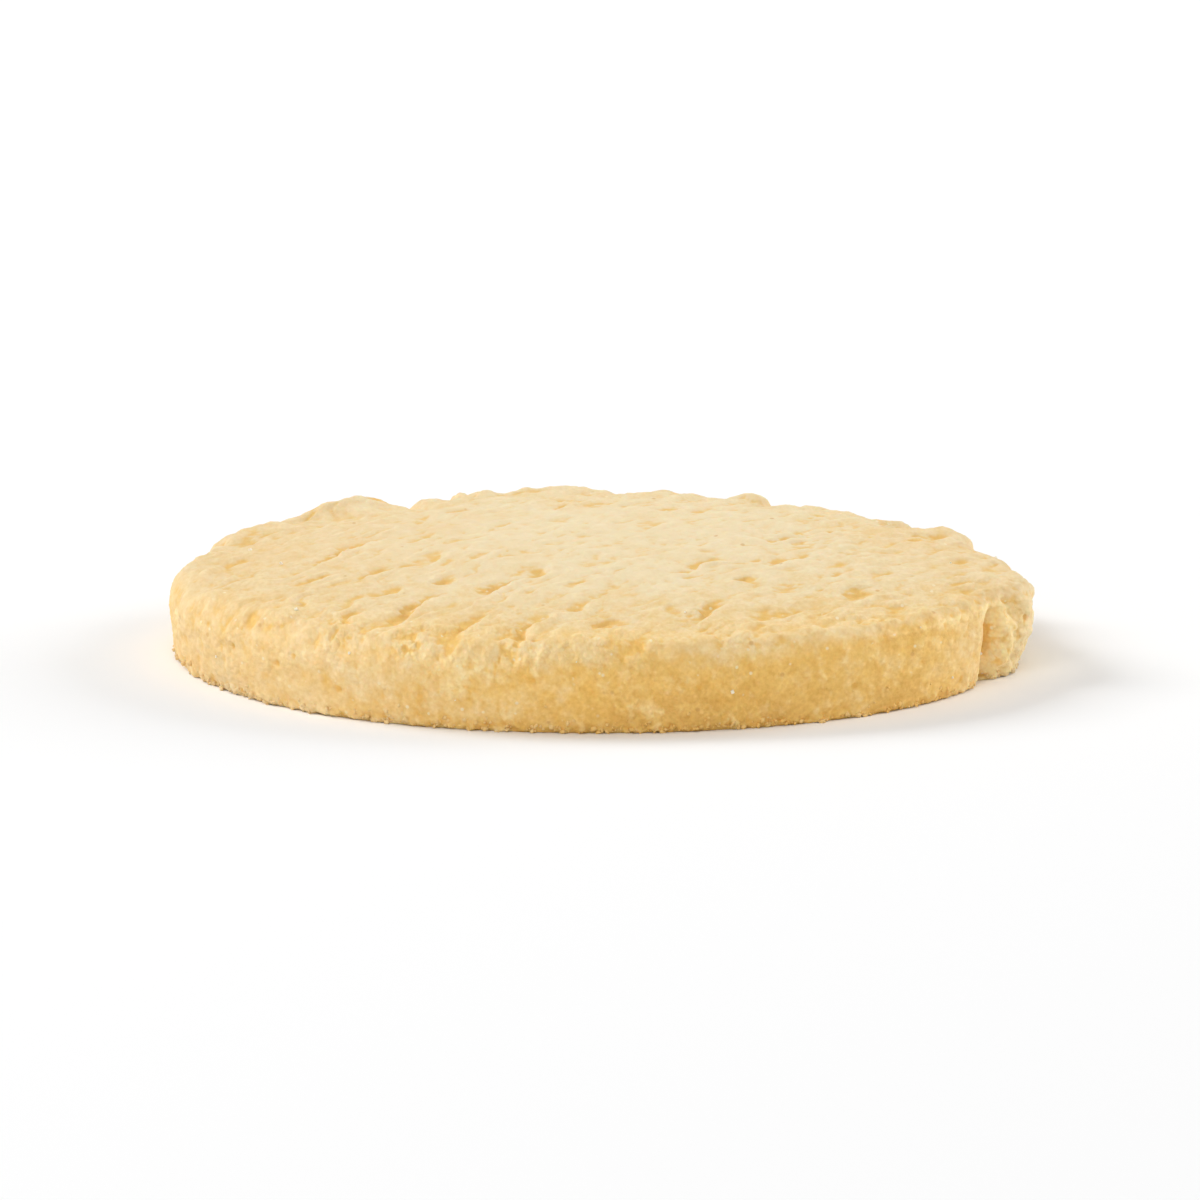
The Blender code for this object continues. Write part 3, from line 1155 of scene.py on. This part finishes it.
    def rim_height(self, angle: Array, near: Array | float = 1.0) -> Array:
        """The height of the top's edge, lower on the left, raised by lumps.

        Args:
            angle: The angles round the biscuit.
            near: How much of the lumps counts, from 0 to 1.

        Returns:
            One height for each angle.
        """
        lean = self.left_lean * 0.5 * (1.0 - np.cos(angle))
        lift = sum(item.lift * item.share(angle) for item in self.features)
        return self.crown - self.rim_fall - lean + lift * near

    def foot_radius(self, angle: Array) -> Array:
        """The radius where the wall meets the rounding of its foot."""
        tuck = self.base_tuck + sum(item.tuck * item.share(angle) for item in self.features)
        return self.wall_radius(angle) - tuck

    def top(self) -> Skin:
        """The top: a square grid bent into a disc.

        For a point (u, v) of the square the disc point is u times the root of
        1 - v^2 / 2, and v times the root of 1 - u^2 / 2. The rim's unevenness
        and its lumps fade out inwards, each with its power of the radius, and
        the height falls from crown to rim with the square.
        """
        side = np.linspace(-1.0, 1.0, self.cells + 1)
        u, v = (axis.ravel() for axis in np.meshgrid(side, side))
        disc_x = u * np.sqrt(1.0 - 0.5 * v * v)
        disc_y = v * np.sqrt(1.0 - 0.5 * u * u)
        share = np.hypot(disc_x, disc_y)
        angle = np.arctan2(disc_y, disc_x)
        rim = self.rim_offset(angle, 0.0) - self.shoulder_run * (self.shoulder_scale(angle) - 1.0)
        stretch = 0.5 * self.diameter - self.shoulder_run + rim * share**self.rim_fade
        edge = self.rim_height(angle, share ** (self.lump_fade - 2))
        height = self.crown * (1.0 - share**2) + edge * share**2
        points = np.column_stack((disc_x * stretch, disc_y * stretch, height))
        outward = np.tile((0.0, 0.0, 1.0), (len(points), 1))
        return Skin(points, outward, np.zeros(len(points)), angle, share)

    def rim_loop(self) -> Array:
        """The numbers of the top's edge vertices, once round counter-clockwise."""
        last = self.cells
        row = last + 1
        step = np.arange(last)
        return np.concatenate((step, last + step * row, last * row + last - step, (last - step) * row))

    def ring(self, angle: Array, radius: Array, height: Array, tilt: float) -> Skin:
        """One ring of the skin: a radius and a height at each angle."""
        points = np.column_stack((radius * np.cos(angle), radius * np.sin(angle), height))
        level, rise = math.sin(tilt), math.cos(tilt)
        outward = np.column_stack((level * np.cos(angle), level * np.sin(angle), np.full(len(angle), rise)))
        return Skin(points, outward, np.full(len(angle), tilt), angle, np.ones(len(angle)))

    def rings(self, angle: Array) -> Iterator[Skin]:
        """Yield the rings below the top, down the shoulder and the wall to the base.

        The shoulder is a quarter of an ellipse, the wall draws in with the
        square of the way down, and the foot is a quarter of a circle.
        """
        quarter = 0.5 * math.pi
        edge, foot = self.rim_height(angle), self.foot_radius(angle)
        tuck = self.wall_radius(angle) - foot
        run, drop = (size * self.shoulder_scale(angle) for size in (self.shoulder_run, self.shoulder_drop))
        upright = edge - drop
        for share in steps(self.shoulder_rings):
            turn = quarter * share
            below = drop * (1.0 - math.cos(turn))
            bent = angle + share * self.wobble(angle, edge - below)
            radius = self.wall_radius(bent, self.level(below)) - run * (1.0 - math.sin(turn))
            yield self.ring(angle, radius, edge - below, turn)
        for down in steps(self.wall_rings):
            height = upright + (self.foot_round - upright) * down
            bent = angle + self.wobble(angle, height)
            radius = self.wall_radius(bent, self.level(edge - height)) - tuck * down**2
            yield self.ring(angle, radius, height, quarter)
        for turn in quarter * steps(self.foot_rings):
            radius = foot - self.foot_round * (1.0 - math.cos(turn))
            height = np.full(len(angle), self.foot_round * (1.0 - math.sin(turn)))
            yield self.ring(angle, radius, height, quarter + turn)
        for inward in steps(self.base_rings + 1)[:-1]:
            radius = (foot - self.foot_round) * (1.0 - inward)
            yield self.ring(angle, radius, np.zeros(len(angle)), 2.0 * quarter)

    # ---- finish over the surface

    def crust(self, skin: Skin) -> Array:
        """How golden the dough is: pale on top, golden on the rim and the wall.

        The wall is most golden where it was baked hardest, and palest where it
        is broken open. The extra gold towards the front and low on the wall is
        partly baked colour, partly painted shade on the front of the top and
        painted warm bounce light low on the wall.
        """
        down = np.clip(1.0 - skin.points[:, 2] / (self.crown - self.rim_fall), 0.0, 1.0)
        front = -skin.points[:, 1]
        # towards the front the top grows golden: partly baked colour, partly painted shade
        rim = 0.25 * smooth(skin.inset, 0.40, 1.0) + 0.19 * smooth(front, -26.0 * MM, 22.0 * MM)
        rim = rim + 0.07 * smooth(skin.inset, 0.86, 1.0) * smooth(front, 4.0 * MM, 22.0 * MM)
        rim = rim - self.pale_corner.amount(skin.angle) * smooth(skin.inset, 0.7, 1.0)
        baked = 0.60 + sum(item.amount(skin.angle) for item in self.baked_sides)
        # lower on the wall it grows more golden: partly baked colour, partly painted warm bounce light
        return rim + (baked - rim) * smooth(np.degrees(skin.tilt), 35.0, 90.0) * (0.72 + 0.45 * down)

    def ruddiness(self, skin: Skin) -> Array:
        """How much more heat the dough caught: on the left side, and less on the right."""
        across = skin.points[:, 0]
        return smooth(-across, 2.0 * MM, 28.0 * MM) + 0.7 * smooth(across, 14.0 * MM, 30.0 * MM)

    def hollow(self, moved: Array, cuts: Array, mesh: bpy.types.Mesh) -> Array:
        """How deep each vertex lies: 0.5 is level, 0 a crest and 1 a hollow.

        It compares the relief with the same relief evened out over a near and
        a wider neighbourhood, and adds a part of the depth of its cut. The finish
        turns it into painted shade in hollows and a painted highlight on crests.

        Args:
            moved: The relief of each vertex.
            cuts: How deep each vertex is cut.
            mesh: The mesh, for its edges.

        Returns:
            One number for each vertex.
        """
        edges = np.empty(2 * len(mesh.edges), np.int32)
        mesh.edges.foreach_get("vertices", edges)
        edges = edges.reshape(-1, 2)
        lower, level = 0.0, moved
        for rounds, share, depth in self.shading:
            level = averaged(level, edges, rounds)
            lower = lower + share * (level - moved) / depth
        rounds, share, depth = self.cut_shading
        return np.clip(0.5 + lower + share * averaged(cuts, edges, rounds) / depth, 0.0, 1.3)

    # ---- mesh

    def build(self, material: bpy.types.Material) -> None:
        """Join the top, the rings and the pole of the base into one closed mesh."""
        top = self.top()
        loop = self.rim_loop()
        rings = list(self.rings(top.angle[loop]))
        pole = self.ring(np.zeros(1), np.zeros(1), np.zeros(1), math.pi)
        skin = Skin.joined([top, *rings, pole])

        relief = Relief(skin, 0.5 * self.diameter)
        moved = relief.outwards()
        points = skin.points + skin.outward * moved[:, None]
        points[:, 2] = np.maximum(points[:, 2], 0.0)

        item = mesh_object("biscuit_body", points, self.faces(loop, len(top.points), len(rings)), material)
        numbers = {
            # painted shade in hollows and painted highlight on crests
            "hollow": self.hollow(moved, relief.cuts, item.data),
            "crust": self.crust(skin),
            "loose": relief.roughness(),
            "ruddy": self.ruddiness(skin),
        }
        give_numbers(item, numbers)
        item.data.shade_smooth()
        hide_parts(NODE)
        attach(item)
        self.item, self.skin = item, skin

    def faces(self, loop: Array, first: int, count: int) -> list[list[int]]:
        """The vertex numbers of every face.

        Args:
            loop: The top's edge vertices, in order.
            first: The number of the first ring's first vertex.
            count: How many rings there are below the top.

        Returns:
            Four numbers for each face of the top and the rings, and three for
            each face round the pole of the base.
        """
        row = self.cells + 1
        corner = (np.arange(self.cells)[:, None] * row + np.arange(self.cells)).ravel()
        quads = [np.column_stack((corner, corner + 1, corner + row + 1, corner + row))]
        upper = loop
        for number in range(count):
            lower = first + number * len(loop) + np.arange(len(loop))
            quads.append(np.column_stack((upper, lower, np.roll(lower, -1), np.roll(upper, -1))))
            upper = lower
        pole = np.full(len(loop), first + count * len(loop))
        fan = np.column_stack((upper, pole, np.roll(upper, -1)))
        return np.concatenate(quads).tolist() + fan.tolist()


def random_turns(draw: np.random.Generator, count: int) -> Array:
    """Random rotations, as matrices from unit quaternions.

    Args:
        draw: The random stream.
        count: How many rotations are wanted.

    Returns:
        One 3 by 3 matrix for each.
    """
    drawn = draw.normal(size=(count, 4))
    w, x, y, z = (drawn / np.linalg.norm(drawn, axis=1, keepdims=True)).T
    rows = (
        (1 - 2 * (y * y + z * z), 2 * (x * y - z * w), 2 * (x * z + y * w)),
        (2 * (x * y + z * w), 1 - 2 * (x * x + z * z), 2 * (y * z - x * w)),
        (2 * (x * z - y * w), 2 * (y * z + x * w), 1 - 2 * (x * x + y * y)),
    )
    return np.moveaxis(np.array(rows), 2, 0)


@dataclass
class Sprinkle:
    """Small things on the biscuit's skin, stretched and turned by chance."""

    body: BiscuitBody
    name: str
    seed: Draw
    count: int
    sizes: Band
    rarity: float  # power of the chance, which makes large ones rare
    lift: float  # how far their middles stand out of the skin, in sizes
    stretch: Band
    dents: Band | None = None  # how much each corner may be pushed in or out

    def scatter(
        self, weight: Array, form: tuple[Array, Array], material: bpy.types.Material
    ) -> tuple[bpy.types.Object, Array]:
        """Set copies of one form on vertices of the body.

        Args:
            weight: How likely each vertex of the body is.
            form: The corners and the faces of the form, about 1 in radius.
            material: The finish.

        Returns:
            The new piece, and the body's vertex under each of its corners.
        """
        draw = np.random.default_rng(self.seed.value)
        mesh = self.body.item.data
        places = np.empty(len(mesh.vertices) * 3)
        normals = np.empty(len(mesh.vertices) * 3, np.float32)
        mesh.vertices.foreach_get("co", places)
        mesh.vertex_normals.foreach_get("vector", normals)
        chosen = draw.choice(len(weight), self.count, replace=False, p=weight / weight.sum())

        corners, faces = form
        low, high = self.sizes
        size = (low + (high - low) * draw.random(self.count) ** self.rarity)[:, None]
        shape = corners * draw.uniform(*self.stretch, (self.count, 1, 3))
        if self.dents:
            shape = shape * (1.0 + draw.uniform(*self.dents, (self.count, len(corners), 1)))
        shape = np.einsum("nij,nkj->nki", random_turns(draw, self.count), shape)
        middle = places.reshape(-1, 3)[chosen]
        middle = middle + normals.reshape(-1, 3)[chosen].astype(float) * (self.lift * size)
        points = middle[:, None, :] + shape * size[:, None]
        points[..., 2] = np.maximum(points[..., 2], 0.0)
        faces = faces[None] + (np.arange(self.count) * len(corners))[:, None, None]

        rows = faces.reshape(-1, faces.shape[-1]).tolist()
        item = mesh_object(self.name, points.reshape(-1, 3), rows, material)
        attach(item)
        return item, np.repeat(chosen, len(corners))


@dataclass
class ClingingCrumbs(Sprinkle):
    """Small lumps of dough that cling to the foot."""

    name: str = "clinging_crumbs"
    seed: Draw = Draw.CRUMBS
    count: int = 900
    sizes: Band = (0.07 * MM, 0.24 * MM)
    rarity: float = 2.2
    lift: float = 0.15
    stretch: Band = (0.45, 1.3)
    dents: Band | None = (-0.40, 0.35)
    meridians: int = 6

    def ball(self) -> tuple[Array, Array]:
        """A ball of three rings and two poles, and its triangles.

        A point is a pole or (sin a cos b, sin a sin b, cos a), with a in
        quarters of a half turn and b in even steps of a turn.
        """
        count = self.meridians
        around = TURN * np.arange(count) / count
        levels = math.pi * np.arange(1, 4)[:, None] / 4.0
        x, y = np.sin(levels) * np.cos(around), np.sin(levels) * np.sin(around)
        z = np.cos(levels) * np.ones(count)
        points = np.vstack(((0.0, 0.0, 1.0), np.stack((x, y, z), -1).reshape(-1, 3), (0.0, 0.0, -1.0)))
        here, there = 1 + np.arange(count), 1 + np.roll(np.arange(count), -1)
        faces = [np.column_stack((np.zeros(count, int), here, there))]
        for ring in (0, count):
            faces.append(np.column_stack((here + ring, here + ring + count, there + ring)))
            faces.append(np.column_stack((there + ring, here + ring + count, there + ring + count)))
        last = 2 * count
        faces.append(np.column_stack((here + last, np.full(count, 3 * count + 1), there + last)))
        return points, np.concatenate(faces)

    def build(self, material: bpy.types.Material) -> None:
        """Crowd dented balls round the foot, coloured like the dough behind them."""
        skin = self.body.skin
        foot = np.exp(-skin.points[:, 2] / (0.30 * MM)) * (skin.tilt > 1.2) * (skin.tilt < 2.6)
        item, under = self.scatter(foot, self.ball(), material)
        numbers = {
            # a little of the painted highlight that crests get
            "hollow": np.full(len(under), 0.4),
            "crust": (0.8 * self.body.crust(skin))[under],
            "loose": np.zeros(len(under)),
            "ruddy": self.body.ruddiness(skin)[under],
        }
        give_numbers(item, numbers)
        item.data.shade_smooth()


@dataclass
class SugarGrains(Sprinkle):
    """Single sugar crystals that stand out of the crust."""

    name: str = "sugar_grains"
    seed: Draw = Draw.SUGAR
    count: int = 24
    sizes: Band = (0.05 * MM, 0.15 * MM)
    rarity: float = 1.5
    lift: float = 0.2
    stretch: Band = (0.6, 1.0)

    def build(self, material: bpy.types.Material) -> None:
        """Set blocks of eight corners into the rim and the upper wall."""
        skin = self.body.skin
        weight = (skin.points[:, 2] > 1.5 * MM) * (0.1 + smooth(np.degrees(skin.tilt), 15.0, 70.0))
        corners = np.array(list(itertools.product((-1.0, 1.0), repeat=3)))
        quads = np.array(((0, 1, 3, 2), (4, 6, 7, 5), (0, 4, 5, 1), (2, 3, 7, 6), (0, 2, 6, 4), (1, 5, 7, 3)))
        self.scatter(weight, (corners, quads), material)


# ---------------------------------------------------------------- studio


@dataclass(frozen=True)
class SoftBox:
    """A square area lamp that points at the biscuit."""

    name: str
    bearing: float
    elevation: float
    distance: float
    side: float
    power: float
    colour: Colour = (1.0, 1.0, 1.0)

    def build(self, target: Vector) -> None:
        """Hang the lamp at its bearing and elevation and turn it to the target."""
        lamp = bpy.data.lights.new(self.name, "AREA")
        lamp.shape = "SQUARE"
        lamp.size = self.side
        lamp.energy = self.power
        lamp.color = self.colour
        item = bpy.data.objects.new(self.name, lamp)
        away = direction(self.bearing, self.elevation)
        item.location = target + away * self.distance
        item.rotation_euler = (-away).to_track_quat("-Z", "Y").to_euler()
        bpy.context.scene.collection.objects.link(item)


def direction(bearing: float, elevation: float) -> Vector:
    """The unit vector towards a bearing and an elevation, in degrees."""
    turn, rise = math.radians(bearing), math.radians(elevation)
    return Vector((math.cos(turn) * math.cos(rise), math.sin(turn) * math.cos(rise), math.sin(rise)))


@dataclass
class Studio:
    """White floor, soft light and a long lens, set round the biscuit."""

    target: Vector
    elevation: float = 11.0
    distance: float = 1.30
    width_of_view: float = 88.0 * MM
    sensor: float = 36.0 * MM
    nearest: float = 0.05  # distances between which the camera sees
    farthest: float = 20.0
    sky: float = 0.38  # strength of the light from all round
    floor_side: float = 6.0
    lamps: tuple[SoftBox, ...] = (
        SoftBox("key", 155.0, 36.0, 1.1, 0.5, 7.2),
        SoftBox("right_side", 25.0, 20.0, 1.2, 0.7, 8.2),
        SoftBox("front", -103.0, 39.0, 1.4, 0.9, 6.9),
    )

    def build(self) -> None:
        """Set up the floor, the sky, the lamps and the camera."""
        self.floor()
        self.surround()
        for lamp in self.lamps:
            lamp.build(self.target)
        self.camera()
        bpy.context.scene.view_settings.view_transform = "Standard"

    def floor(self) -> None:
        """Lay a plain white square on the level of the underside."""
        half = 0.5 * self.floor_side
        points = np.array(((-half, -half, 0.0), (half, -half, 0.0), (half, half, 0.0), (-half, half, 0.0)))
        mesh_object("floor", points, [[0, 1, 2, 3]], StudioPaper().material())

    def surround(self) -> None:
        """Light the scene evenly from all round with white."""
        world = bpy.data.worlds.new("studio")
        world.use_nodes = True
        background = world.node_tree.nodes["Background"]
        background.inputs["Color"].default_value = (1.0, 1.0, 1.0, 1.0)
        background.inputs["Strength"].default_value = self.sky
        bpy.context.scene.world = world

    def camera(self) -> None:
        """Look at the biscuit from the front and a little above."""
        camera = bpy.data.cameras.new("camera")
        camera.sensor_width = self.sensor / MM
        camera.lens = camera.sensor_width * self.distance / self.width_of_view
        camera.clip_start = self.nearest
        camera.clip_end = self.farthest
        item = bpy.data.objects.new("camera", camera)
        away = direction(-90.0, self.elevation)
        item.location = self.target + away * self.distance
        item.rotation_euler = (-away).to_track_quat("-Z", "Y").to_euler()
        bpy.context.scene.collection.objects.link(item)
        bpy.context.scene.camera = item


def write_sizes() -> None:
    """Bring the view layer up to date."""
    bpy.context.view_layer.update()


def main() -> None:
    """Build the biscuit and what clings to it, then the studio round it."""
    logging.basicConfig(level=logging.INFO, format="%(name)s: %(message)s")
    low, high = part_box(NODE)
    dough = BakedDough().material()
    body = BiscuitBody(crown=high.z - low.z)
    body.build(dough)
    ClingingCrumbs(body).build(BakedDough(softness=0.0).material())
    SugarGrains(body).build(SugarCrystal().material())
    Studio(target=Vector((0.5 * (low.x + high.x), 0.0, 0.5 * high.z))).build()
    write_sizes()


if __name__ == "__main__":
    main()
